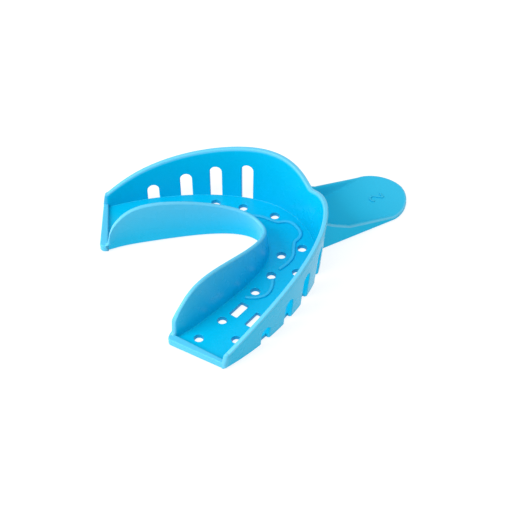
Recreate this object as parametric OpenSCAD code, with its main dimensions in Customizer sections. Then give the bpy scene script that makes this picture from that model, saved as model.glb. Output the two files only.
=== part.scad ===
// Disposable lower impression tray with a scoop handle.
// One injection moulding. Each node is one region of it, and the regions meet
// face to face. Handle toward +Y, open arms toward -Y, underside on Z = 0.

/* [Arch] */
// Nominal width across the outer rims at the heels (mm)
arch_width = 82.5; // [66:0.5:100]
// Depth from the outer heel corners to the inside of the front wall (mm)
arch_depth = 49.3; // [40:0.1:62]
// Width of the trough at the heels, measured across X (mm)
trough_heel = 16.1; // [12:0.1:20]
// Width of the trough at the midline, measured along Y (mm)
trough_front = 14; // [11:0.1:18]
// How far the inner heel corner sits behind the outer heel corner (mm)
heel_rake = 7.8; // [4:0.1:11]

/* [Walls] */
// Thickness of the floor plate (mm)
floor_thickness = 1.3; // [1:0.05:2.4]
// Thickness of the outer wall (mm)
outer_thickness = 1.65; // [1.2:0.05:2.4]
// Thickness of the lingual wall (mm)
lingual_thickness = 1.3; // [1:0.05:2]
// Reference height of the outer wall above the floor (mm)
outer_height = 20; // [14:0.1:26]
// Reference height of the lingual wall above the floor (mm)
lingual_height = 15; // [10:0.1:19]
// Outward lean of the outer wall (degrees)
outer_lean = 7.2; // [2:0.1:12]
// Lean of the lingual wall toward the tongue (degrees)
lingual_lean = 3.6; // [0:0.1:8]
// Rounding along the lower outer edges (mm)
foot_radius = 0.9; // [0.4:0.05:1]
// Thickness of the lip that closes each heel, at its outer end (mm)
lip_thickness = 1.5; // [1:0.05:2.4]
// Extra thickness of the lip at its lingual end (mm)
lip_flare = 1.1; // [0:0.05:1.6]
// Height of the heel lip above the floor (mm)
lip_height = 1.2; // [0.6:0.05:2]

/* [Retention] */
// Diameter of the round floor perforations (mm)
hole_diameter = 3; // [2:0.1:3.6]
// How much narrower each perforation is at the underside (mm)
hole_taper = 0.5; // [0:0.05:0.8]
// Width of the rectangular floor windows (mm)
window_width = 2.9; // [2:0.1:3.4]
// Length of the rectangular floor windows (mm)
window_length = 6.1; // [4:0.1:7]
// Width of the upright slots in the outer wall (mm)
slot_width = 3.7; // [2.6:0.1:4.2]
// Width of the raised floor bead (mm)
bead_width = 1.1; // [0.6:0.05:1.3]
// Height of the raised floor bead (mm)
bead_height = 0.6; // [0.3:0.05:1]

/* [Handle] */
// Width of the handle (mm)
handle_width = 22.1; // [18:0.1:28]
// Length of the handle from the front wall to its tip (mm)
handle_length = 36.2; // [26:0.1:44]
// Thickness of the handle deck (mm)
deck_thickness = 1.4; // [1:0.05:2.2]
// Thickness of the handle side rails (mm)
rail_thickness = 1.2; // [0.8:0.05:1.8]
// Height of the rails above the deck at the bend (mm)
rail_height = 3.4; // [2:0.1:5]
// Distance from the front wall to the bend in the rails (mm)
rail_bend = 9.6; // [7:0.1:13]
// Rise of the rails from the bend to the wall (mm)
rail_rise = 5.2; // [2:0.1:7]
// Length of the rounded handle tip (mm)
tip_length = 10; // [6:0.1:12]
// Height of the size numeral (mm)
numeral_size = 4.7; // [3:0.1:6]
// Sideways place of the size numeral on the deck (mm)
numeral_side = 0.8; // [-2:0.1:2]
// Raise of the size numeral above the deck (mm)
numeral_raise = 0.35; // [0.2:0.05:0.6]

/* [Hidden] */
stations = 24;      // path steps on each half of the arch
arc_steps = 6;      // steps round each rim
$fn = 48;
blue = [0.10, 0.66, 0.90];
light_blue = [0.32, 0.74, 0.93];

// Rise of the rims: ratios of the reference heights, from the midline to the heel.
// The midline relief for the frenum is a shallow V whose bottom is softened.
relief_soft = 0.02;
outer_rise = [0.682, 1.235, 0.734, 0.970, 0.234];
lingual_rise = [0.513, 0.66, 1.057, 1.347, 0.369];
outer_slope = tan(outer_lean);
lingual_slope = tan(lingual_lean);

// Half widths at floor level, worked back from the overall width.
outer_half = arch_width / 2 - outer_thickness
           - outer_slope * outer_height * outer_rise[4];
inner_half = outer_half - trough_heel;
inner_depth = arch_depth - trough_front;
outer_x = [0, 0.41, 0.60, 0.905, 1] * outer_half;
outer_y = [1, 1, 0.795, 0.477, 0] * arch_depth;
inner_x = [0, 0.644, 0.756, 1.006, 1] * inner_half;
inner_y = [inner_depth, inner_depth, 0.187 * inner_depth,
           0.025 * inner_depth, -heel_rake];

// Quartic blend of five control values, and its slope.
function blend(c, t) = let (s = 1 - t)
    s*s*s*s*c[0] + 4*s*s*s*t*c[1] + 6*s*s*t*t*c[2] + 4*s*t*t*t*c[3] + t*t*t*t*c[4];
function slope(c, t) = let (s = 1 - t)
    4 * (s*s*s*(c[1]-c[0]) + 3*s*s*t*(c[2]-c[1]) + 3*s*t*t*(c[3]-c[2]) + t*t*t*(c[4]-c[3]));
function unit(v) = v / norm(v);
function rim(rise, t) = blend(rise, min(1, sqrt(t*t + relief_soft*relief_soft)));

// The heel line runs from the lingual corner to the outer corner. The lip stands behind it.
heel_dir = unit([outer_x[4] - inner_x[4], outer_y[4] - inner_y[4]]);
lip_back = [heel_dir[1], -heel_dir[0]];
end_draft = tan(10);    // slope of the outer wall's end face above the lip
end_radius = 1.2;       // rounding of that end

// u runs from -1 at the left heel, through 0 at the midline, to 1 at the right.
function side(u) = u < 0 ? -1 : 1;
function outer_at(u) = let (t = abs(u)) [side(u) * blend(outer_x, t), blend(outer_y, t)];
function inner_at(u) = let (t = abs(u)) [side(u) * blend(inner_x, t), blend(inner_y, t)];
function trough_at(u, s) = (1 - s) * inner_at(u) + s * outer_at(u);

// Direction across a wall: square to the path, turning to the heel line past turn_start.
// It is stretched so that an offset keeps the wall's true thickness.
turn_start = 0.85;
function across(cx, cy, u) = let (
    t = abs(u),
    n = unit([-slope(cy, t), slope(cx, t)]),
    k = max(0, (t - turn_start) / (1 - turn_start)),
    w = k * k * (3 - 2 * k),
    d = unit((1 - w) * n + w * heel_dir),
    e = d / (d * n))
    [side(u) * e[0], e[1]];
function path_u(i) = i / stations - 1;
last = 2 * stations;

// Section of a wall as [offset, height] pairs: foot, face, rounded rim, face, foot.
// dir is 1 for the outer wall and -1 for the lingual one. m is the lean as a slope.
function section(h, th, m, dir, inset) = let (r = th / 2, zc = floor_thickness + h - r)
    concat(
        [[-dir * inset, 0], [-dir * inset, floor_thickness],
         [dir * (m * (h - r) - inset), zc]],
        [for (k = [1 : arc_steps]) let (a = 180 - 180 * k / arc_steps)
            [dir * (m * (h - r) + r + r * cos(a)), zc + r * sin(a)]],
        [[dir * th, floor_thickness]],
        [for (k = [0 : 2]) let (a = -45 * k)
            [dir * (th - foot_radius + foot_radius * cos(a)),
             foot_radius + foot_radius * sin(a)]]);

// One ring of wall points at u. It is carried back along the heel by a reach that
// shrinks with height, and drawn in to share of its width.
function wall_ring(cx, cy, rise, height, th, m, dir, inset, u, reach, share) = let (
    t = abs(u),
    c = [side(u) * blend(cx, t), blend(cy, t)],
    d = across(cx, cy, u) * share,
    b = [side(u) * lip_back[0], lip_back[1]])
    [for (q = section(height * rim(rise, t), th, m, dir, inset)) let (
        e = reach > 0 ? reach - end_draft * max(0, q[1] - floor_thickness - lip_height) : 0)
        [c[0] + d[0] * q[0] + b[0] * e, c[1] + d[1] * q[0] + b[1] * e, q[1]]];

// tail is how far the wall runs on past the heel line, to a rounded end.
module wall_solid(cx, cy, rise, height, th, m, dir, inset = 0, tail = 0) {
    ends = tail > 0 ? [for (a = [0 : 30 : 90]) [tail - end_radius * (1 - sin(a)),
                                                1 - end_radius / th * (1 - cos(a))]] : [];
    steps = concat(
        [for (k = [len(ends) - 1 : -1 : 0]) [-1, ends[k][0], ends[k][1]]],
        [for (i = [0 : last]) [path_u(i), 0, 1]],
        [for (e = ends) [1, e[0], e[1]]]);
    rings = [for (q = steps)
        wall_ring(cx, cy, rise, height, th, m, dir, inset, q[0], q[1], q[2])];
    n = len(rings[0]);
    final = len(rings) - 1;
    points = [for (r = rings) for (q = r) q];
    walls = [for (i = [0 : final - 1]) for (j = [0 : n - 1]) let (k = (j + 1) % n)
        each [[i*n + j, i*n + k, (i+1)*n + k], [i*n + j, (i+1)*n + k, (i+1)*n + j]]];
    caps = [[for (j = [0 : n - 1]) n - 1 - j], [for (j = [0 : n - 1]) final*n + j]];
    faces = concat(walls, caps);
    turned = [for (f = faces) [for (j = [len(f) - 1 : -1 : 0]) f[j]]];
    polyhedron(points, dir > 0 ? faces : turned);
}

module outer_shell(inset = 0)
    wall_solid(outer_x, outer_y, outer_rise, outer_height, outer_thickness,
               outer_slope, 1, inset, lip_thickness);

// Retention features are placed by station along the arch and by fraction across it.
hole_places = [[0.157, 0.74], [0.355, 0.742], [0.519, 0.803], [0.871, 0.737],
               [0.158, 0.30], [0.323, 0.305], [0.451, 0.268], [0.716, 0.248], [0.92, 0.261]];
window_places = [[0.618, 0.315], [0.723, 0.674]];
slot_places = [0.41, 0.568, 0.70, 0.833];
slot_ratio = [0.66, 0.625, 0.53, 0.41];

function heading(u, s) = let (a = trough_at(u + 0.01, s), b = trough_at(u - 0.01, s))
    atan2(a[1] - b[1], a[0] - b[0]);

module floor_plate() color(blue) centred() difference() {
    linear_extrude(floor_thickness)
        polygon(concat([for (i = [0 : last]) outer_at(path_u(i))],
                       [for (i = [last : -1 : 0]) inner_at(path_u(i))]));
    for (g = [-1, 1]) {
        for (p = hole_places) translate([each trough_at(g * p[0], p[1]), -1])
            cylinder(d1 = hole_diameter - hole_taper * (1 + 1 / floor_thickness),
                     d2 = hole_diameter + hole_taper / floor_thickness, h = floor_thickness + 2);
        for (p = window_places) translate([each trough_at(g * p[0], p[1]), floor_thickness / 2])
            rotate(heading(g * p[0], p[1]))
                cube([window_length, window_width, floor_thickness + 2], center = true);
    }
}

// Upright slots: open at the foot, round at the top, square to the wall.
module outer_wall() color(light_blue) centred() difference() {
    outer_shell();
    for (g = [-1, 1]) for (i = [0 : len(slot_places) - 1]) {
        u = g * slot_places[i];
        c = outer_at(u);
        d = across(outer_x, outer_y, u);
        top = floor_thickness + slot_ratio[i] * outer_height * rim(outer_rise, abs(u));
        reach = outer_thickness + outer_slope * top + 2;
        translate([c[0], c[1], 0]) rotate(atan2(d[1], d[0])) {
            translate([-1, -slot_width / 2, -1])
                cube([reach + 1, slot_width, top - slot_width / 2 + 1]);
            translate([-1, 0, top - slot_width / 2]) rotate([0, 90, 0])
                cylinder(d = slot_width, h = reach + 1);
        }
    }
}

module lingual_wall() color(light_blue) centred()
    wall_solid(inner_x, inner_y, lingual_rise, lingual_height, lingual_thickness,
               lingual_slope, -1);

// A lip closes the trough behind each heel. It runs from the tongue face of the lingual
// wall to the trough face of the outer wall, and is thicker at its lingual end.
lip_in = inner_at(1) + across(inner_x, inner_y, 1) * -lingual_thickness;
lip_out = outer_at(1);
lip_radius = lip_thickness * 1.05;
lip_centre = lip_in + lip_back * (lip_thickness + lip_flare - lip_radius) + heel_dir * lip_radius;
lip_turn = atan2(heel_dir[1], heel_dir[0]) + 180;
lip_outline = concat([lip_out, lip_in],
    [for (k = [0 : 5]) lip_centre + lip_radius * [cos(lip_turn + 17 * k), sin(lip_turn + 17 * k)]],
    [lip_out + lip_back * lip_thickness]);
module heel_lip_right() color(light_blue) centred()
    linear_extrude(floor_thickness + lip_height) polygon(lip_outline);
module heel_lip_left() mirror([1, 0, 0]) heel_lip_right();

// Beads follow smooth paths through a few stations of the trough.
front_path = [[0, 0.829], [0.029, 0.826], [0.06, 0.785], [0.079, 0.704], [0.095, 0.60],
              [0.144, 0.563], [0.202, 0.558], [0.248, 0.506], [0.274, 0.434], [0.29, 0.38]];
side_path = [[0.365, 0.385], [0.403, 0.434], [0.452, 0.489], [0.498, 0.508], [0.521, 0.47],
             [0.521, 0.356], [0.498, 0.20]];
function rom(p, i, f) = let (n = len(p) - 1,
    a = p[max(i - 1, 0)], b = p[i], c = p[min(i + 1, n)], d = p[min(i + 2, n)])
    0.5 * (2*b + (c - a)*f + (2*a - 5*b + 4*c - d)*f*f + (3*b - a - 3*c + d)*f*f*f);
bead_steps = 4;
function bead_line(path) = [for (i = [0 : len(path) - 2]) for (k = [0 : bead_steps - 1])
    rom(path, i, k / bead_steps)];
function front_line() = let (
    h = concat(bead_line(front_path), [front_path[len(front_path) - 1]]))
    concat([for (i = [len(h) - 1 : -1 : 1]) trough_at(-h[i][0], h[i][1])],
           [for (q = h) trough_at(q[0], q[1])]);
function side_line() = let (
    h = concat(bead_line(side_path), [side_path[len(side_path) - 1]]))
    [for (q = h) trough_at(q[0], q[1])];

// A flat band of even width along a line of points.
module band(line, width) {
    n = len(line) - 1;
    nrm = [for (i = [0 : n]) let (v = unit(line[min(i + 1, n)] - line[max(i - 1, 0)]))
        [-v[1], v[0]]];
    polygon(concat([for (i = [0 : n]) line[i] + nrm[i] * width / 2],
                   [for (i = [n : -1 : 0]) line[i] - nrm[i] * width / 2]));
}
module bead(line) translate([0, 0, floor_thickness])
    linear_extrude(bead_height) band(line, bead_width);
module front_bead() color(light_blue) centred() bead(front_line());
module side_bead_right() color(light_blue) centred() bead(side_line());
module side_bead_left() mirror([1, 0, 0]) side_bead_right();

// Handle: a flat deck with a rounded tip and a rail along each side.
tip_y = arch_depth + handle_length;
knee_y = arch_depth + 0.7;    // the rails are level from here to the wall
bend_y = knee_y + rail_bend;
straight_y = tip_y - tip_length;
tip_power = 2 / 1.8;    // exponent of the rounded tip's outline
half = handle_width / 2;
root_y = arch_depth - trough_front / 2;
rear_y = min([for (p = lip_outline) p[1]]);
middle_y = (tip_y + rear_y) / 2;
module centred() translate([0, -middle_y, 0]) children();
function tip_point(a) = [half * pow(cos(a), tip_power),
                         straight_y + tip_length * pow(sin(a), tip_power)];

module handle_deck() color(blue) centred() difference() {
    linear_extrude(deck_thickness) polygon(concat(
        [[-half, root_y], [half, root_y], [half, straight_y]],
        [for (k = [1 : 17]) tip_point(5 * k)],
        [[0, tip_y]],
        [for (k = [17 : -1 : 1]) let (q = tip_point(5 * k)) [-q[0], q[1]]],
        [[-half, straight_y]]));
    outer_shell(trough_front);
}

module handle_rail_right() color(light_blue) centred() difference() {
    translate([half, 0, deck_thickness]) rotate([90, 0, -90]) linear_extrude(rail_thickness)
        polygon([[-root_y, 0], [-root_y, rail_height + rail_rise],
                 [-knee_y, rail_height + rail_rise], [-bend_y, rail_height],
                 [-straight_y, 0]]);
    outer_shell(trough_front);
}
module handle_rail_left() mirror([1, 0, 0]) handle_rail_right();

// Plain single-stroke numeral, its head toward the tray.
numeral_stroke = numeral_size * 0.13;
numeral_y = straight_y - numeral_stroke;
numeral_bow = numeral_size * 0.25;
numeral_top = numeral_size / 2 - numeral_stroke / 2 - numeral_bow;
numeral_line = concat(
    [for (a = [165 : -15 : -30]) [numeral_bow * cos(a), numeral_top + numeral_bow * sin(a)]],
    [[-numeral_bow * 0.9, -numeral_size / 2 + numeral_stroke * 0.6]]);
module size_numeral() color(light_blue) centred()
    translate([numeral_side, numeral_y, deck_thickness]) rotate(180)
        union() {
            linear_extrude(numeral_raise) band(numeral_line, numeral_stroke);
            translate([-numeral_bow - numeral_stroke / 2, -numeral_size / 2, 0])
                cube([2.2 * numeral_bow + numeral_stroke, numeral_stroke, numeral_raise]);
        }

floor_plate();
outer_wall();
lingual_wall();
heel_lip_right();
heel_lip_left();
front_bead();
side_bead_right();
side_bead_left();
handle_deck();
handle_rail_right();
handle_rail_left();
size_numeral();
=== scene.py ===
"""A disposable lower impression tray: one moulding in glossy cyan-blue polystyrene.

Lengths are in millimetres until a mesh is made, where MM turns them to metres.
The arch runs from u = -1 at the left heel, through 0 at the midline, to u = 1 at the right heel.
"""

import math

import bmesh
import bpy
import numpy as np
from mathutils import Matrix, Vector


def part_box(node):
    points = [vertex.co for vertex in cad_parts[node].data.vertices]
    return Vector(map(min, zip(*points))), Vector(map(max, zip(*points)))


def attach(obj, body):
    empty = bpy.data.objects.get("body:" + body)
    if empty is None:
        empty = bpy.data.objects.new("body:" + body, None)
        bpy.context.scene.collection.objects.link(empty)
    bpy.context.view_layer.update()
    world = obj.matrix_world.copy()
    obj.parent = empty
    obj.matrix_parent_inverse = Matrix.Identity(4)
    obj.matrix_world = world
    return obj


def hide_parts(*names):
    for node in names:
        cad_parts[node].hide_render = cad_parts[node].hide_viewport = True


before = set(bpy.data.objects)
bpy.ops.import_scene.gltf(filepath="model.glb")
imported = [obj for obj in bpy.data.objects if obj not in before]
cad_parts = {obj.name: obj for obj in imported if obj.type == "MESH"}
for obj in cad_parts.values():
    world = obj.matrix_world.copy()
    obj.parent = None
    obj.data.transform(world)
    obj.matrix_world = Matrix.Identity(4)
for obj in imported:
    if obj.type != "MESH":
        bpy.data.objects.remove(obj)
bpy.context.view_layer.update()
MM = 0.001

# ---------------------------------------------------------------- sizes of the tray
# Angles are turned to slopes here, and every other size is a length in millimetres.
ARCH_WIDTH = 82.5
ARCH_DEPTH = 49.3
TROUGH_FRONT = 14.0
TROUGH_HEEL = 16.1
HEEL_RAKE = 7.8
TURN_START = 0.85
FLOOR = 1.3
FLOOR_TUCK = 0.2
FLOOR_EDGE = 0.15
OUTER_THICK = 1.65
OUTER_LEAN = math.tan(math.radians(7.2))
OUTER_FOOT = 0.9
OUTER_FILLET = 0.15
LINGUAL_THICK = 1.3
LINGUAL_LEAN = math.tan(math.radians(3.6))
LINGUAL_FOOT = 0.8
LINGUAL_FILLET = 0.25
# Rim heights over the floor: five control values from the midline to a heel.
OUTER_RISE = 20.0 * np.array([0.682, 1.235, 0.734, 0.970, 0.234])
LINGUAL_RISE = 15.0 * np.array([0.513, 0.66, 1.057, 1.347, 0.369])
RELIEF_SOFT = 0.02
# The outer rim loses this share of its thickness over this depth.
RIM_THIN = 0.3
RIM_DEPTH = 1.3
LIP_THICK = 1.5
LIP_FLARE = 1.1
LIP_RISE = 1.2
LIP_TOP = FLOOR + LIP_RISE
LIP_RADIUS = 1.05 * LIP_THICK
LIP_EDGE = 0.45
END_RADIUS = 1.2
END_DRAFT = math.tan(math.radians(10))
TAIL_EASE = 0.13
FOOT_GAP = 0.02
HOLE = 3.0
HOLE_TAPER = 0.5
WINDOW = (6.1, 2.9)
WINDOW_CORNER = 0.35
SLOT_WIDTH = 3.7
BEAD_WIDTH = 1.1
BEAD_HEIGHT = 0.6
# How far a ridge is carried down into the surface that it stands on.
RIDGE_ROOT = 0.12
DECK = 1.4
HANDLE_HALF = 11.05
HANDLE_LENGTH = 36.2
HANDLE_EDGE = 0.4
# The bend of the rails is counted from this far outside the floor line.
HANDLE_SEAT = 0.7
RAIL_THICK = 1.2
RAIL_HEIGHT = 3.4
RAIL_RISE = 5.2
RAIL_BEND = 9.6
TIP_LENGTH = 10.0
TIP_POWER = 2 / 1.8
NUMERAL_SIZE = 4.7
NUMERAL_STROKE = 0.55
NUMERAL_RAISE = 0.42
NUMERAL_SIDE = 0.6

OUTER_HALF = ARCH_WIDTH / 2 - OUTER_THICK - OUTER_LEAN * OUTER_RISE[4]
INNER_HALF = OUTER_HALF - TROUGH_HEEL
INNER_DEPTH = ARCH_DEPTH - TROUGH_FRONT
TIP_Y = ARCH_DEPTH + HANDLE_LENGTH
MIDDLE_Y = TIP_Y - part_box("handle_deck")[1].y / MM
# The handle's sides are straight up to this line, where the tip begins.
TIP_START = TIP_Y - TIP_LENGTH - MIDDLE_Y

# Control points of the two floor lines, from the midline to a heel.
OUTER_X = OUTER_HALF * np.array([0, 0.41, 0.60, 0.905, 1])
OUTER_Y = ARCH_DEPTH * np.array([1, 1, 0.795, 0.477, 0])
INNER_X = INNER_HALF * np.array([0, 0.644, 0.756, 1.006, 1])
INNER_Y = np.array([INNER_DEPTH, INNER_DEPTH, 0.187 * INNER_DEPTH, 0.025 * INNER_DEPTH, -HEEL_RAKE])

# Places in the trough, as u and the share of the way from the lingual to the outer side.
HOLES = [(0.157, 0.74), (0.355, 0.742), (0.519, 0.803), (0.871, 0.737), (0.158, 0.30),
         (0.323, 0.305), (0.451, 0.268), (0.716, 0.248), (0.92, 0.261)]
WINDOWS = [(0.618, 0.315), (0.723, 0.674)]
# Places of the slots along the wall, and their tops as a share of the rim's height there.
SLOTS = [(0.41, 0.66), (0.568, 0.625), (0.70, 0.53), (0.833, 0.41)]
FRONT_BEAD = [(0, 0.829), (0.029, 0.826), (0.06, 0.785), (0.079, 0.704), (0.095, 0.60),
              (0.144, 0.563), (0.202, 0.558), (0.248, 0.506), (0.274, 0.434), (0.29, 0.38)]
SIDE_BEAD = [(0.365, 0.385), (0.403, 0.434), (0.452, 0.489), (0.498, 0.508), (0.521, 0.47),
             (0.521, 0.356), (0.498, 0.20)]


# ---------------------------------------------------------------- curves of the arch
def quartic(c, t):
    """Blend of five control values: the Bernstein sum of degree four."""
    s = 1 - t
    return (s**4 * c[0] + 4 * s**3 * t * c[1] + 6 * s**2 * t**2 * c[2]
            + 4 * s * t**3 * c[3] + t**4 * c[4])


def quartic_slope(c, t):
    """Derivative of that blend."""
    s = 1 - t
    return 4 * (s**3 * (c[1] - c[0]) + 3 * s**2 * t * (c[2] - c[1])
                + 3 * s * t**2 * (c[3] - c[2]) + t**3 * (c[4] - c[3]))


def unit(v):
    """Vectors of the last axis, brought to length one."""
    return v / np.linalg.norm(v, axis=-1, keepdims=True)


def mirrored(u):
    """Minus one on the left arm and one on the right."""
    return np.where(np.asarray(u) < 0, -1.0, 1.0)


def along(cx, cy, u):
    """Point of an arch line: x keeps the sign of u, y is shifted to the row frame."""
    t = np.abs(u)
    return np.stack([mirrored(u) * quartic(cx, t), quartic(cy, t) - MIDDLE_Y], -1)


def in_trough(u, share):
    """Point of the floor: share 0 is the lingual side, 1 the outer side."""
    share = np.asarray(share, float)[..., None]
    return (1 - share) * along(INNER_X, INNER_Y, u) + share * along(OUTER_X, OUTER_Y, u)


HEEL_DIR = unit(np.array([OUTER_X[4] - INNER_X[4], OUTER_Y[4] - INNER_Y[4]]))
LIP_BACK = np.array([HEEL_DIR[1], -HEEL_DIR[0]])


def across(cx, cy, u):
    """Direction across a wall: the normal, turning to the heel line over the last stretch,
    and stretched so that an offset along it keeps the wall's true thickness."""
    t = np.abs(u)
    n = unit(np.stack([-quartic_slope(cy, t), quartic_slope(cx, t)], -1))
    w = smooth((t - TURN_START) / (1 - TURN_START))[..., None]
    d = unit((1 - w) * n + w * HEEL_DIR)
    d = d / (d * n).sum(-1, keepdims=True)
    d[..., 0] *= mirrored(u)
    return d


def rim(rise, u):
    """Height of a rim above the floor, with a softened dip at the midline."""
    t = np.sqrt(np.square(u) + RELIEF_SOFT**2)
    return quartic(rise, np.minimum(t, 1))


def length_table(cx, cy):
    """Arc length from the midline against u, from a fine chord sum."""
    u = np.linspace(-1, 1, 2001)
    step = np.linalg.norm(np.diff(along(cx, cy, u), axis=0), axis=1)
    s = np.concatenate([[0], np.cumsum(step)])
    return s - s[1000], u


def quarter(gap, r):
    """Depth of a quarter round of radius r, at a distance gap from its edge."""
    g = np.clip(r - gap, 0, r)
    return r - np.sqrt(r * r - g * g)


def smooth(k):
    """Eased step from 0 to 1: three k squared less two k cubed."""
    k = np.clip(k, 0, 1)
    return k * k * (3 - 2 * k)


# ---------------------------------------------------------------- mesh helpers
def finish_piece(name, mesh, material, nodes):
    """Puts a mesh in metres into the scene as a piece of the tray."""
    mesh.shade_smooth()
    mesh.materials.clear()
    mesh.materials.append(material)
    piece = bpy.data.objects.new(name, mesh)
    bpy.context.scene.collection.objects.link(piece)
    if not mesh.has_custom_normals:
        normals = piece.modifiers.new("even_normals", "WEIGHTED_NORMAL")
        normals.mode = "FACE_AREA"
        normals.weight = 90
    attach(piece, "root")
    if nodes:
        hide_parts(*nodes)
    return piece


def mark_share(mesh, label, share):
    """Stores a share from 0 to 1 at each vertex, for the material: how much painted highlight it
    takes on a rim, edge or ridge top, or how much painted shade in the wall of an opening."""
    edge = mesh.attributes.new(label, "FLOAT", "POINT")
    edge.data.foreach_set("value", np.ascontiguousarray(share, np.float32).ravel())


def mesh_of(name, points, faces, edge=None):
    """Mesh from points in millimetres and faces, doubles merged, facing outwards."""
    mesh = bpy.data.meshes.new(name)
    mesh.from_pydata((np.asarray(points, float) * MM).tolist(), [], faces)
    if edge is not None:
        mark_share(mesh, "painted_highlight_share", edge)
    bm = bmesh.new()
    bm.from_mesh(mesh)
    bmesh.ops.remove_doubles(bm, verts=bm.verts, dist=1e-7)
    bmesh.ops.dissolve_degenerate(bm, edges=bm.edges, dist=1e-8)
    bmesh.ops.recalc_face_normals(bm, faces=bm.faces)
    bm.to_mesh(mesh)
    bm.free()
    return mesh


def grid_faces(rows, cols, wrap=False, start=0):
    """Quads of a grid of points stored row by row. wrap joins the last column to the first."""
    i, j = np.meshgrid(np.arange(rows - 1), np.arange(cols if wrap else cols - 1), indexing="ij")
    k = (j + 1) % cols
    q = np.stack([i * cols + j, i * cols + k, (i + 1) * cols + k, (i + 1) * cols + j], -1)
    return (q.reshape(-1, 4) + start).tolist()


def ring_faces(n, k, start=0):
    """Faces of a closed skin over n rings of k points, with a cap at each end."""
    last = start + (n - 1) * k
    caps = [list(range(start, start + k)), list(range(last, last + k))]
    return grid_faces(n, k, wrap=True, start=start) + caps


def rounded_slab(name, loops, thickness, edge):
    """Flat plate between closed loops, with a round of radius edge along every border.
    The first loop is the outside and runs anticlockwise; the rest are openings, clockwise."""
    curve = bpy.data.curves.new(name, "CURVE")
    curve.dimensions = "2D"
    curve.fill_mode = "BOTH"
    curve.extrude = thickness / 2 - edge
    curve.bevel_depth = edge
    curve.bevel_resolution = 3
    curve.offset = -edge
    for loop in loops:
        line = curve.splines.new("POLY")
        line.points.add(len(loop) - 1)
        flat = np.column_stack([loop, np.zeros(len(loop)), np.ones(len(loop))])
        line.points.foreach_set("co", flat.ravel())
        line.use_cyclic_u = True
    holder = bpy.data.objects.new(name, curve)
    bpy.context.scene.collection.objects.link(holder)
    graph = bpy.context.evaluated_depsgraph_get()
    mesh = bpy.data.meshes.new_from_object(holder.evaluated_get(graph))
    bpy.data.objects.remove(holder)
    bpy.data.curves.remove(curve)
    bm = bmesh.new()
    bm.from_mesh(mesh)
    bpy.data.meshes.remove(mesh)
    bmesh.ops.remove_doubles(bm, verts=bm.verts, dist=1e-4)
    return bm


def points_of(mesh):
    """Every vertex of a mesh, as rows of three."""
    flat = np.empty(3 * len(mesh.vertices))
    mesh.vertices.foreach_get("co", flat)
    return flat.reshape(-1, 3)


def put_points(mesh, points):
    """Moves every vertex of a mesh to its row of points."""
    mesh.vertices.foreach_set("co", np.ascontiguousarray(points, np.float32).ravel())


def face_outwards(mesh):
    """Turns every face of a closed mesh to look outward."""
    bm = bmesh.new()
    bm.from_mesh(mesh)
    bmesh.ops.recalc_face_normals(bm, faces=bm.faces)
    bm.to_mesh(mesh)
    bm.free()


def lift_rows(bm, height):
    """Moves a flat plate's vertices along y by a height that depends on their x."""
    mesh = bpy.data.meshes.new("lifted")
    bm.to_mesh(mesh)
    points = points_of(mesh)
    points[:, 1] += height(points[:, 0])
    put_points(mesh, points)
    bm.clear()
    bm.from_mesh(mesh)
    bpy.data.meshes.remove(mesh)


def cut_rows(bm, axis, places):
    """Adds edges where the plate crosses planes square to one axis."""
    normal = Vector((0, 0, 0))
    normal[axis] = 1
    for place in places:
        everything = bm.verts[:] + bm.edges[:] + bm.faces[:]
        bmesh.ops.bisect_plane(bm, geom=everything, dist=1e-5, plane_co=normal * place,
                               plane_no=normal)


def join_flat(bm):
    """Removes every edge between two coplanar flat faces that does not run along a cut."""
    spare = [e for e in bm.edges if len(e.link_faces) == 2
             and abs(e.verts[0].co.x - e.verts[1].co.x) > 1e-4
             and all(abs(f.normal.z) > 0.9999 for f in e.link_faces)]
    bmesh.ops.dissolve_edges(bm, edges=spare, use_verts=False)


def flat_normals(mesh):
    """Vertex normals of a flat plate: a vertex of a flat face takes that face's normal, and
    one on a rounded border takes the mean of its faces by area."""
    size = len(mesh.polygons)
    facing, area, corners = np.empty(size * 3), np.empty(size), np.empty(size, int)
    mesh.polygons.foreach_get("normal", facing)
    mesh.polygons.foreach_get("area", area)
    mesh.polygons.foreach_get("loop_total", corners)
    index = np.empty(corners.sum(), int)
    mesh.loops.foreach_get("vertex_index", index)
    facing = facing.reshape(-1, 3)
    weight = area * np.where(np.abs(facing[:, 2]) > 0.9999, 1e6, 1.0) + 1e-12
    normals = np.zeros((len(mesh.vertices), 3))
    np.add.at(normals, index, np.repeat(facing * weight[:, None], corners, axis=0))
    return unit(normals)


def bent_mesh(name, bm, place, share=None, label="painted_highlight_share"):
    """Carries a flat plate to its bent place, a function of flat points, with its normals.
    A normal follows the cofactors of the bend's slopes, taken over a short step each way.
    share, a function of flat points too, is stored under a label for the material."""
    mesh = bpy.data.meshes.new(name)
    bmesh.ops.recalc_face_normals(bm, faces=bm.faces)
    bm.to_mesh(mesh)
    bm.free()
    p = points_of(mesh)
    flat = flat_normals(mesh)
    step = 0.02
    a, b, c = ((place(p + step * axis) - place(p - step * axis)) / (2 * step) for axis in np.eye(3))
    bent = (np.cross(b, c) * flat[:, :1] + np.cross(c, a) * flat[:, 1:2]
            + np.cross(a, b) * flat[:, 2:])
    bent = unit(bent * np.sign((np.cross(a, b) * c).sum(1))[:, None])
    put_points(mesh, place(p) * MM)
    face_outwards(mesh)
    mesh.shade_smooth()
    mesh.normals_split_custom_set_from_vertices(bent.tolist())
    if share is not None:
        mark_share(mesh, label, share(p))
    return mesh


def arc(centre, radius, start, turn, count):
    """Points of an arc, both ends included. A negative turn runs clockwise."""
    a = start + turn * np.linspace(0, 1, count)
    return np.asarray(centre) + radius * np.stack([np.cos(a), np.sin(a)], -1)


def hole(centre, radius, count=40):
    """Points of a whole circle, clockwise, without the last one, which meets the first."""
    return arc(centre, radius, 0, -2 * math.pi, count + 1)[:-1]


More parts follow.
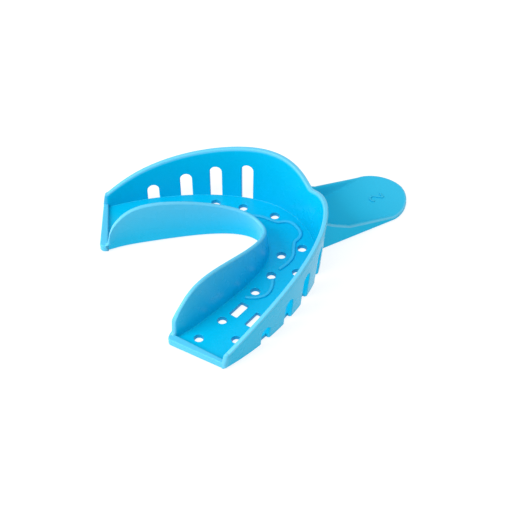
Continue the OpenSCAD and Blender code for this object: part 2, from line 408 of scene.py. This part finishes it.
def spline(knots, steps):
    """Smooth line through every knot: the cubic whose slope at a knot is half the chord
    between its neighbours."""
    p = np.asarray(knots, float)
    p = np.vstack([p[:1], p, p[-1:]])
    f = (np.arange(steps) / steps)[None, :, None]
    a, b, c, d = (p[k:len(p) - 3 + k, None] for k in range(4))
    q = 0.5 * (2 * b + (c - a) * f + (2 * a - 5 * b + 4 * c - d) * f**2
               + (3 * b - a - 3 * c + d) * f**3)
    return np.vstack([q.reshape(-1, p.shape[1]), p[-1:]])


def painted_crest_highlight(rings, base, height):
    """How far each point of a ridge stands up, for the painted highlight along its top."""
    return 0.3 * smooth((rings[..., 2] - base) / height * 1.6 - 0.6)


def stroke_rings(line, width, height, base, end=0.5):
    """Half-round ridge carried along a flat line, drawn in to a rounded point at both ends.
    The ring is the upper half of an ellipse with full shoulders, its sine and cosine raised to
    0.6, closed just under the surface that it stands on."""
    step = np.linalg.norm(np.diff(line, axis=0), axis=1)
    s = np.concatenate([[0], np.cumsum(step)])
    tangent = unit(np.gradient(line, axis=0))
    normal = np.stack([-tangent[:, 1], tangent[:, 0]], -1)
    gap = np.minimum(s, s[-1] - s)
    size = np.sqrt(np.clip(1 - np.square(1 - np.clip(gap / end, 0, 1)), 0.01, 1))
    a = np.linspace(0, math.pi, 11)
    across_share = np.sign(np.cos(a)) * np.abs(np.cos(a)) ** 0.6
    side = np.concatenate([across_share, [-1, 1]]) * width / 2
    up = np.concatenate([np.clip(np.sin(a), 0, 1) ** 0.6 * height, [-RIDGE_ROOT, -RIDGE_ROOT]])
    xy = line[:, None, :] + normal[:, None, :] * (side[None, :, None] * size[:, None, None])
    z = base + up[None, :] * np.where(up > 0, size[:, None], 1)
    return np.concatenate([xy, z[..., None]], -1)


# ---------------------------------------------------------------- materials
def linear(colour):
    """sRGB hex to linear RGBA."""
    v = np.array([int(colour[k:k + 2], 16) for k in (1, 3, 5)]) / 255
    v = np.where(v <= 0.04045, v / 12.92, ((v + 0.055) / 1.055) ** 2.4)
    return (*v.tolist(), 1.0)


def add(tree, kind, settings=(), links=()):
    """Adds a node with its settings and its incoming links."""
    node = tree.nodes.new(kind)
    for key, value in dict(settings).items():
        if isinstance(key, str) and hasattr(node, key):
            setattr(node, key, value)
        else:
            node.inputs[key].default_value = value
    for key, source in dict(links).items():
        tree.links.new(source, node.inputs[key])
    return node


# Sockets of the colour Mix node, which share their names with its other kinds.
MIX_SHARE, MIX_FROM, MIX_TO, MIX_RESULT = 0, 6, 7, 2
TINTS = ("#00B2DC", "#00B6E0")
# Colour of the painted highlight on rims, edges and ridge tops.
PAINTED_HIGHLIGHT_COLOUR = "#5FBEE0"
# Colour of the painted shade in the walls of the floor's openings.
PAINTED_OPENING_SHADE = "#009CCC"
SWIRL_MM = 22
POLISH_MM = 6
POLISH_SPREAD = 0.03


def polystyrene(name, gloss, shine, grain_mm, grain_depth_mm):
    """High-impact polystyrene, injection moulded and self-coloured. The polished tool gives a
    wet-looking skin; the eroded tool gives the handle its finer, duller grain."""
    material = bpy.data.materials.new(name)
    material.use_nodes = True
    tree = material.node_tree
    tree.nodes.clear()
    place = add(tree, "ShaderNodeTexCoord").outputs["Object"]
    # Pigment swirls a few centimetres long, hardly a shade apart.
    swirl = add(tree, "ShaderNodeTexNoise", {"Scale": 1 / (SWIRL_MM * MM), "Detail": 2.0},
                {"Vector": place})
    tint = add(tree, "ShaderNodeValToRGB", links={"Fac": swirl.outputs["Fac"]})
    for stop, position, colour in zip(tint.color_ramp.elements, (0.35, 0.65), TINTS):
        stop.position = position
        stop.color = linear(colour)
    # Painted highlight: rims, edges and ridge tops are mixed toward a paler colour, in place of the
    # light that they catch.
    edge = add(tree, "ShaderNodeAttribute", {"attribute_name": "painted_highlight_share"})
    painted_highlight = add(tree, "ShaderNodeMix", {"data_type": "RGBA", MIX_TO: linear(PAINTED_HIGHLIGHT_COLOUR)},
               {MIX_SHARE: edge.outputs["Fac"], MIX_FROM: tint.outputs["Color"]})
    # Painted shade: the walls of the openings are mixed toward a deeper colour, in place of the
    # shade inside them.
    cut = add(tree, "ShaderNodeAttribute", {"attribute_name": "painted_opening_shade"})
    painted_shade = add(tree, "ShaderNodeMix", {"data_type": "RGBA", MIX_TO: linear(PAINTED_OPENING_SHADE)},
               {MIX_SHARE: cut.outputs["Fac"], MIX_FROM: painted_highlight.outputs[MIX_RESULT]})
    # Polish varies a little from place to place.
    patch = add(tree, "ShaderNodeTexNoise", {"Scale": 1 / (POLISH_MM * MM), "Detail": 3.0},
                {"Vector": place})
    polish = add(tree, "ShaderNodeMapRange",
                 {"From Min": 0.3, "From Max": 0.7,
                  "To Min": gloss - POLISH_SPREAD, "To Max": gloss + POLISH_SPREAD},
                 {"Value": patch.outputs["Fac"]})
    grain = add(tree, "ShaderNodeTexNoise", {"Scale": 1 / (grain_mm * MM), "Detail": 2.0},
                {"Vector": place})
    bump = add(tree, "ShaderNodeBump", {"Strength": 1.0, "Distance": grain_depth_mm * MM},
               {"Height": grain.outputs["Fac"]})
    skin = add(tree, "ShaderNodeBsdfPrincipled", {"IOR": 1.5, "Specular IOR Level": shine},
               {"Base Color": painted_shade.outputs[MIX_RESULT], "Roughness": polish.outputs["Result"],
                "Normal": bump.outputs["Normal"]})
    add(tree, "ShaderNodeOutputMaterial", links={"Surface": skin.outputs["BSDF"]})
    return material


polished = polystyrene("polished_moulded_polystyrene", 0.27, 0.15, 1.4, 0.0005)
eroded = polystyrene("spark_grained_moulded_polystyrene", 0.42, 0.12, 0.45, 0.006)


# ---------------------------------------------------------------- the tray
def floor_plate():
    """Flat floor between the walls, with round perforations and rectangular windows.
    Its border runs a little into the walls and the lips, so no seam shows."""
    u = np.linspace(-1, 1, 161)
    outside = along(OUTER_X, OUTER_Y, u) + across(OUTER_X, OUTER_Y, u) * FLOOR_TUCK
    inside = along(INNER_X, INNER_Y, u) - across(INNER_X, INNER_Y, u) * FLOOR_TUCK
    back = np.array([0, -FLOOR_TUCK])
    outside[[0, -1]] += back
    inside[[0, -1]] += back
    centres = np.array([in_trough(g * t, share) for g in (-1, 1) for t, share in HOLES])
    loops = [np.vstack([outside[::-1], inside])]
    loops += [hole(centre, HOLE / 2) for centre in centres]
    half = np.array(WINDOW) / 2 - WINDOW_CORNER
    quarter_turn = math.pi / 2
    corners = [((1, 1), 1), ((1, -1), 0), ((-1, -1), -1), ((-1, 1), 2)]
    window = np.vstack([arc(half * sign, WINDOW_CORNER, quarter_turn * turns, -quarter_turn, 5)
                        for sign, turns in corners])
    for g in (-1, 1):
        for t, share in WINDOWS:
            run = unit(in_trough(g * t + 0.01, share) - in_trough(g * t - 0.01, share))
            side = np.array([-run[1], run[0]])
            loops.append(in_trough(g * t, share) + window[:, :1] * run + window[:, 1:] * side)
    bm = rounded_slab("tray_floor", loops, FLOOR, FLOOR_EDGE)

    def taper(p):
        """Each perforation narrows toward the underside."""
        off = p[:, None, :2] - centres
        reach = np.linalg.norm(off, axis=2)
        nearest = reach.argmin(1)
        row = np.arange(len(p))
        depth = 0.5 - p[:, 2] / FLOOR
        at_border = reach[row, nearest] < HOLE / 2 + 2 * FLOOR_EDGE
        shift = np.where(at_border, HOLE_TAPER / 2 * depth, 0)
        xy = p[:, :2] - unit(off[row, nearest]) * shift[:, None]
        return np.column_stack([xy, p[:, 2] + FLOOR / 2])

    def opening_shade_share(p):
        """Share of painted shade: one on the wall of an opening and on the border, zero on the flat
        faces.
        """
        return smooth((FLOOR / 2 - np.abs(p[:, 2])) / 0.1)

    return bent_mesh("tray_floor", bm, taper, opening_shade_share, "painted_opening_shade")


def slotted_border(s_table, u_table, height, end):
    """Outline of the outer wall laid flat: the foot with its slots, then the rim, which is
    the line q = 0 and is rounded down at both ends. height gives the wall's height at s."""
    half = SLOT_WIDTH / 2
    slots = sorted((np.interp(g * t, u_table, s_table), FLOOR + share * rim(OUTER_RISE, t))
                   for g in (-1, 1) for t, share in SLOTS)
    border = []
    here = -end
    for middle, top in slots:
        foot = np.arange(here, middle - half, 1.0)
        border += [np.column_stack([foot, np.zeros(len(foot))]),
                   [(middle - half, 0), (middle - half, (top - half) / 2)],
                   arc((middle, top - half), half, math.pi, -math.pi, 17),
                   [(middle + half, (top - half) / 2), (middle + half, 0)]]
        here = middle + half + 0.5
    foot = np.arange(here, end, 1.0)
    border += [np.column_stack([foot, np.zeros(len(foot))]), [(end, 0)]]
    border = np.vstack(border)
    border[:, 1] -= height(border[:, 0])
    corner = 0.9
    quarter_turn = math.pi / 2
    return np.vstack([border, arc((end - corner, -corner), corner, 0, quarter_turn, 6),
                      arc((corner - end, -corner), corner, quarter_turn, quarter_turn, 6)])


def outer_wall():
    """The wall is laid out flat, s along the floor line and q down from the rim, with its
    slots cut up from the foot. It is then rounded at the rim and the foot, filleted into the
    floor, and bent along the arch with its outward lean."""
    s_table, u_table = length_table(OUTER_X, OUTER_Y)

    def height(s):
        return FLOOR + rim(OUTER_RISE, np.interp(s, s_table, u_table))

    heel = s_table[-1]
    border = slotted_border(s_table, u_table, height, heel + LIP_THICK)
    bm = rounded_slab("outer_wall", [border], OUTER_THICK, 0.3)
    tail_cuts = heel + np.array([0.01, 0.3, 0.6, 0.8, 1.0, 1.2])
    cut_rows(bm, 0, [*np.arange(-math.floor(heel), heel, 1.0), *tail_cuts, *-tail_cuts])
    # The fill leaves slivers, which would spoil the faces' normals.
    bmesh.ops.remove_doubles(bm, verts=bm.verts, dist=0.002)
    bmesh.ops.dissolve_degenerate(bm, edges=bm.edges, dist=0.0005)
    bm.normal_update()
    join_flat(bm)
    rim_rows = [-0.4, -0.6, -0.9, -RIM_DEPTH]
    cut_rows(bm, 1, rim_rows)
    lift_rows(bm, height)
    foot_rows = [0.45, 0.7, 1.0, FLOOR]
    fillet_rows = [FLOOR + OUTER_FILLET * share for share in (0.3, 0.7, 1)]
    cut_rows(bm, 1, [*foot_rows, *fillet_rows, LIP_TOP])

    def bend(p):
        """A flat point (s, z, w) to its place. w runs from the trough face outward."""
        s, z, w = p.T
        share = w / OUTER_THICK + 0.5
        depth = height(s) - z
        thin = 1 - RIM_THIN * np.clip(1 - depth / RIM_DEPTH, 0, 1) ** 2
        w = OUTER_THICK / 2 + w * thin
        # The outer face is rounded in at the foot. The trough face swells into a fillet on the
        # floor, and eases back again where the floor hides it.
        w = w - share * quarter(z, OUTER_FOOT)
        hidden = OUTER_FILLET * smooth((z - FLOOR + 0.6) / 0.4)
        fillet = np.where(z > FLOOR, quarter(z - FLOOR, OUTER_FILLET), hidden)
        # Past the heel line the wall runs back to the lip's rear, drafted and rounded.
        past = np.clip(np.abs(s) - heel, 0, LIP_THICK)
        w = w - TAIL_EASE * share * smooth(past / 0.6)
        w = w - (1 - share) * fillet * (past == 0)
        w = w * (1 - quarter(LIP_THICK - past, END_RADIUS) / OUTER_THICK)
        w = w + OUTER_LEAN * np.clip(z - FLOOR, 0, None)
        reach = past * (1 - END_DRAFT / LIP_THICK * np.clip(z - LIP_TOP, 0, None))
        u = np.interp(s, s_table, u_table)
        xy = along(OUTER_X, OUTER_Y, u) + across(OUTER_X, OUTER_Y, u) * w[:, None]
        xy += LIP_BACK * np.column_stack([mirrored(s), np.ones(len(s))]) * reach[:, None]
        # Nothing goes under the foot plane. A trace of the slope is left for the normals.
        raised = np.where(z < 0, 0.001 * z, z) + FOOT_GAP * (1 - z / height(s))
        return np.column_stack([xy, raised])

    def painted_rim_highlight(p):
        """Share of painted highlight: one on the rim and toward the wall's ends, fading to zero on
        the faces.
        """
        past = np.clip(np.abs(p[:, 0]) - heel, 0, None) / LIP_THICK
        return np.maximum(smooth(1.6 - (height(p[:, 0]) - p[:, 1]) / 0.6), past)

    return bent_mesh("outer_wall", bm, bend, painted_rim_highlight)


def lingual_wall():
    """Profile carried along the inner arch: fillet from the floor, leaning face, round rim,
    tongue face and rounded foot. Each end is rounded in plan, where both faces close on the
    wall's middle, leans forward above the lip and flares out onto it."""
    r = LINGUAL_THICK / 2
    flare = 1.0
    s_table, u_table = length_table(INNER_X, INNER_Y)
    end = s_table[-1]
    # Stations along the wall, close together at the rounded ends.
    ease = r * (1 - np.cos(np.linspace(0, math.pi / 2, 8)))
    run = np.concatenate([ease, np.arange(1.0, end, 0.9)])
    run = np.concatenate([run - end, end - run[::-1]])
    u = np.interp(run, s_table, u_table)
    gap = (end - np.abs(run))[:, None]
    # Heights of the profile: foot, floor line and fillet, flare, and then the round rim.
    z_foot = LINGUAL_FOOT * (1 - np.cos(np.linspace(0, math.pi / 2, 6)))
    z_low = np.concatenate([z_foot, [FLOOR - 0.02],
                            FLOOR + LINGUAL_FILLET * np.array([0.15, 0.35, 0.65, 1]),
                            LIP_TOP + flare * np.array([-0.1, 0.15, 0.35, 0.6, 1])])
    b = np.linspace(0, math.pi, 13)
    rise = FLOOR + rim(LINGUAL_RISE, u)[:, None] - r
    low = np.tile(z_low, (len(u), 1))
    z = np.hstack([low, rise + r * np.sin(b), low[:, ::-1]])
    n = len(z_low)
    middle = -r - LINGUAL_LEAN * np.clip(z - FLOOR, 0, None)
    half = np.hstack([np.full((len(u), n), r), np.tile(r * np.cos(b), (len(u), 1)),
                      np.full((len(u), n), -r)])
    half[:, :n] += np.where(z_low > FLOOR - 0.1, quarter(z_low - FLOOR, LINGUAL_FILLET), 0)
    half[:, -n:] += quarter(z_low, LINGUAL_FOOT)[::-1]
    # Below the lip's top the end is square, so that the tongue face runs on into the lip.
    end_round = r - (r - ease[1]) * (1 - smooth((z - LIP_TOP) / flare))
    share = np.sqrt(np.clip(1 - np.square(1 - np.clip(gap / end_round, 0, 1)), 0, 1))
    off = middle + half * share
    forward_lean = 0.2 * np.clip(z - LIP_TOP - flare, 0, None)
    back = np.where(z < LIP_TOP, flare, quarter(z - LIP_TOP, flare) - forward_lean)
    back = back * np.clip(1 - gap / 2.5, 0, 1) ** 2
    xy = along(INNER_X, INNER_Y, u)[:, None] + across(INNER_X, INNER_Y, u)[:, None] * off[..., None]
    behind = LIP_BACK * np.column_stack([mirrored(u), np.ones(len(u))])
    xy += behind[:, None] * back[..., None]
    # Painted highlight along the round rim and at the rounded ends.
    edge = np.maximum(smooth(1.6 - (rise + r - z) / 0.6), np.clip(1.5 - gap / 0.5, 0, 1))
    points = np.concatenate([xy, z[..., None] + FOOT_GAP], -1)
    faces = grid_faces(*z.shape, wrap=True)
    return mesh_of("lingual_wall", points.reshape(-1, 3), faces, edge)


def wall_offset(cx, cy, offset):
    """Point of the right arm's heel line, at an offset across the wall from the floor line."""
    heel_u = np.array([1.0])
    return (along(cx, cy, heel_u) + across(cx, cy, heel_u) * offset)[0]


def heel_lip(g):
    """Low bar behind one heel, from the tongue face into the end of the outer wall. It is
    thicker and round at its lingual corner, and its edges are eased."""
    near = wall_offset(INNER_X, INNER_Y, -LINGUAL_THICK)
    far = wall_offset(OUTER_X, OUTER_Y, 0.4)
    overlap = LIP_BACK * 0.1
    thickest = LIP_THICK + LIP_FLARE - 0.01
    centre = near + LIP_BACK * (thickest - LIP_RADIUS) + HEEL_DIR * LIP_RADIUS
    start = math.atan2(HEEL_DIR[1], HEEL_DIR[0]) + math.pi
    loop = np.vstack([[far - overlap, near - overlap],
                      arc(centre, LIP_RADIUS, start, math.radians(85), 12),
                      [far + LIP_BACK * LIP_THICK]])
    if g < 0:
        loop = loop[::-1] * [-1, 1]
    bm = rounded_slab("heel_lip", [loop], LIP_TOP, LIP_EDGE)
    # The whole lip is painted most of the way to the highlight colour, for the light that falls on
    # its front and top.
    return bent_mesh("heel_lip", bm, lambda p: p + [0, 0, LIP_TOP / 2],
                     lambda p: np.full(len(p), 0.7))


def bead(name, stations, both=False):
    """Half-round bead along a smooth line through stations of the trough."""
    line = spline(stations, 10)
    points = in_trough(line[:, 0], line[:, 1])
    if both:
        points = np.vstack([points[:0:-1] * [-1, 1], points])
    rings = stroke_rings(points, BEAD_WIDTH, BEAD_HEIGHT, FLOOR)
    faces = ring_faces(*rings.shape[:2])
    return mesh_of(name, rings.reshape(-1, 3), faces, painted_crest_highlight(rings, FLOOR, BEAD_HEIGHT))


def handle():
    """Every border point of the handle looks in toward the spine. Along that line the top
    falls from the rail through a hollow flank to the deck, and the underside stays flat.
    Over the tip the lines fan out from the spine's end."""
    root = ARCH_DEPTH - 1.5 - MIDDLE_Y
    wall = ARCH_DEPTH + HANDLE_SEAT - MIDDLE_Y
    bend = wall + RAIL_BEND
    y_side = np.concatenate([np.linspace(root, bend, 15)[:-1],
                             np.linspace(bend, TIP_START, 24)[:-1]])
    fan = np.linspace(0, math.pi / 2, 28)
    border = np.column_stack([
        np.concatenate([np.full(len(y_side), HANDLE_HALF),
                        HANDLE_HALF * np.cos(fan) ** TIP_POWER]),
        np.concatenate([y_side, TIP_START + TIP_LENGTH * np.sin(fan) ** TIP_POWER])])
    border[-1] = (0, TIP_START + TIP_LENGTH)
    border = np.vstack([border * [-1, 1], border[-2::-1]])
    hub = np.column_stack([np.zeros(len(border)), np.minimum(border[:, 1], TIP_START)])
    reach = np.linalg.norm(hub - border, axis=1)
    inward = (hub - border) / reach[:, None]
    # Distances in from the border: the rounded edge, the flank, and the deck to the spine.
    flank_end = 5.5
    rounded = HANDLE_EDGE * (1 - np.cos(np.linspace(0, math.pi / 2, 6)))
    rows = np.concatenate([[0], rounded, np.linspace(0.55, flank_end, 19)])
    rest = flank_end + (reach[:, None] - flank_end) * np.linspace(0, 1, 6)[None, 1:]
    gap = np.hstack([np.tile(rows, (len(border), 1)), rest])
    steepness = (bend - root) / (bend - wall)
    rail = np.interp(border[:, 1:], [root, bend, TIP_START],
                     [RAIL_HEIGHT + RAIL_RISE * steepness, RAIL_HEIGHT, 0])
    flank = 0.5 + 0.6 * rail
    fall = smooth((gap - RAIL_THICK + 0.35) / flank)
    z_top = DECK + rail * (1 - fall) - quarter(gap, HANDLE_EDGE)
    z_top[:, 0] -= 0.2
    ring_gap = np.hstack([gap[:, ::-1], gap])
    ring_z = np.hstack([z_top[:, ::-1], quarter(gap, HANDLE_EDGE)])
    xy = border[:, None] + inward[:, None] * ring_gap[..., None]
    # The root follows the wall's curve and lean, and ends inside it.
    front = along(OUTER_X, OUTER_Y, np.linspace(-1, 1, 2001))
    wall_y = np.interp(xy[..., 0], front[:, 0], front[:, 1])
    meet = wall_y + 0.85 + OUTER_LEAN * np.clip(ring_z - FLOOR, 0, None)
    near_wall = 1 - smooth((xy[..., 1] - root) / 7)
    xy[..., 1] += near_wall * (meet - root)
    rings = np.concatenate([xy, ring_z[..., None]], -1)
    n, m = ring_z.shape
    cap = [*range(m), *range(n * m - 1, (n - 1) * m - 1, -1)]
    on_top = np.arange(m) < m // 2
    # Painted highlight along the rounded top edges of the handle.
    edge = smooth(1.5 - ring_gap / 0.5) * on_top
    # Painted sheen: the deck grows paler toward the tip, in place of the reflection of the overhead
    # light there.
    painted_highlight = 0.25 * smooth((xy[..., 1] - wall) / (TIP_Y - ARCH_DEPTH)) * on_top * (ring_gap > 0.7)
    edge = np.maximum(edge, painted_highlight)
    edge[:, gap.shape[1] - 1] = 0
    return mesh_of("handle", rings.reshape(-1, 3), grid_faces(n, m) + [cap], edge)


def numeral():
    """Raised generic figure 2: a bow and a falling stroke in one line, and a straight foot."""
    half = (NUMERAL_SIZE - NUMERAL_STROKE) / 2
    bow = NUMERAL_SIZE * 0.25
    top = arc((0, half - bow), bow, math.radians(165), -math.radians(195), 24)
    low = np.array([-bow * 0.95, -half])
    steps = np.linspace(0, 1, 12)[:, None]
    fall = top[-1] + (low - top[-1]) * steps[1:]
    foot = low + np.array([[2.1 * bow, 0]]) * steps
    place = np.array([NUMERAL_SIDE, TIP_START])
    points, faces = np.empty((0, 3)), []
    for line in (np.vstack([top, fall]), foot):
        rings = stroke_rings(place - line, NUMERAL_STROKE, NUMERAL_RAISE, DECK, 0.25)
        faces += ring_faces(*rings.shape[:2], start=len(points))
        points = np.vstack([points, rings.reshape(-1, 3)])
    return mesh_of("numeral", points, faces, painted_crest_highlight(points, DECK, NUMERAL_RAISE))


finish_piece("tray_floor", floor_plate(), polished, ["floor_plate"])
finish_piece("outer_wall_shell", outer_wall(), polished, ["outer_wall"])
finish_piece("lingual_wall_shell", lingual_wall(), polished, ["lingual_wall"])
finish_piece("heel_lip_bar_right", heel_lip(1), polished, ["heel_lip_right"])
finish_piece("heel_lip_bar_left", heel_lip(-1), polished, ["heel_lip_left"])
finish_piece("front_bead_ridge", bead("front_bead", FRONT_BEAD, True), polished, ["front_bead"])
for side, g in (("right", 1), ("left", -1)):
    finish_piece(f"side_bead_ridge_{side}", bead("side_bead", np.array(SIDE_BEAD) * [g, 1]),
                 polished, [f"side_bead_{side}"])
finish_piece("scoop_handle", handle(), eroded,
             ["handle_deck", "handle_rail_right", "handle_rail_left"])
finish_piece("raised_numeral", numeral(), eroded, ["size_numeral"])


# ---------------------------------------------------------------- stage, light and camera
SHEET_HALF = 1.5
SHEET_DROP = 0.0003
SHEET_GLOW = 0.8
WORLD_GLOW = 0.56
# Soft boxes: place and width in metres, and power in watts.
SOFT_LIGHTS = {
    "open_side": ((0.0, -0.65, 0.55), 0.5, 4.6),
    "low_front": ((-0.3, -0.8, 0.12), 0.5, 3.0),
    "overhead": ((0.0, 0.0, 0.9), 0.6, 2.1),
    "right_side": ((0.65, 0.0, 0.55), 0.5, 0.6),
}
# The camera's turn, rise and tilt in degrees, its aim and distance, and its lens.
VIEW_ANGLES = (62.42, 43.86, -1.92)
VIEW_AIM = (3.43, 30.21 - MIDDLE_Y, 0.15)
VIEW_DISTANCE = 577.4
LENS = 130.97


def stage_floor():
    """Opal light table under the tray. It glows a little, so that shadows stay faint."""
    mesh = bpy.data.meshes.new("stage_floor")
    corner = np.array([(-1, -1, 0), (1, -1, 0), (1, 1, 0), (-1, 1, 0)]) * SHEET_HALF
    mesh.from_pydata(corner.tolist(), [], [(0, 1, 2, 3)])
    opal = bpy.data.materials.new("opal_acrylic_light_table")
    opal.use_nodes = True
    shader = opal.node_tree.nodes["Principled BSDF"]
    shader.inputs["Base Color"].default_value = linear("#8A8A8A")
    shader.inputs["Roughness"].default_value = 0.9
    shader.inputs["Emission Color"].default_value = linear("#FFFFFF")
    shader.inputs["Emission Strength"].default_value = SHEET_GLOW
    mesh.materials.append(opal)
    sheet = bpy.data.objects.new("stage_floor", mesh)
    sheet.location.z = -SHEET_DROP
    bpy.context.scene.collection.objects.link(sheet)


def soft_light(name, place, width, power):
    """Square soft box that faces the tray."""
    lamp = bpy.data.lights.new(name, "AREA")
    lamp.size = width
    lamp.energy = power
    holder = bpy.data.objects.new(name, lamp)
    holder.location = place
    holder.rotation_euler = (-Vector(place)).to_track_quat("-Z", "Y").to_euler()
    bpy.context.scene.collection.objects.link(holder)


def camera():
    """Long lens, turned and raised to the viewing angle, with a slight tilt of the horizon."""
    turn, rise, tilt = (math.radians(angle) for angle in VIEW_ANGLES)
    back = Vector((math.sin(turn) * math.cos(rise), -math.cos(turn) * math.cos(rise),
                   math.sin(rise)))
    level = Vector((math.cos(turn), math.sin(turn), 0))
    upright = back.cross(level)
    right = level * math.cos(tilt) + upright * math.sin(tilt)
    up = upright * math.cos(tilt) - level * math.sin(tilt)
    place = (Vector(VIEW_AIM) + back * VIEW_DISTANCE) * MM
    lens = bpy.data.cameras.new("camera")
    lens.sensor_width = 36
    lens.lens = LENS
    eye = bpy.data.objects.new("camera", lens)
    turned = Matrix((right, up, back)).transposed().to_4x4()
    eye.matrix_world = Matrix.Translation(place) @ turned
    bpy.context.scene.collection.objects.link(eye)
    bpy.context.scene.camera = eye


def studio():
    """White surroundings, for an even light from all sides."""
    world = bpy.data.worlds.new("studio")
    world.use_nodes = True
    sky = world.node_tree.nodes["Background"]
    sky.inputs["Color"].default_value = (1, 1, 1, 1)
    sky.inputs["Strength"].default_value = WORLD_GLOW
    bpy.context.scene.world = world
    bpy.context.scene.view_settings.view_transform = "Standard"


stage_floor()
for name, light in SOFT_LIGHTS.items():
    soft_light(name, *light)
camera()
studio()


def corners(box):
    """The two corners of a box as plain lists."""
    return [list(map(float, corner)) for corner in box]
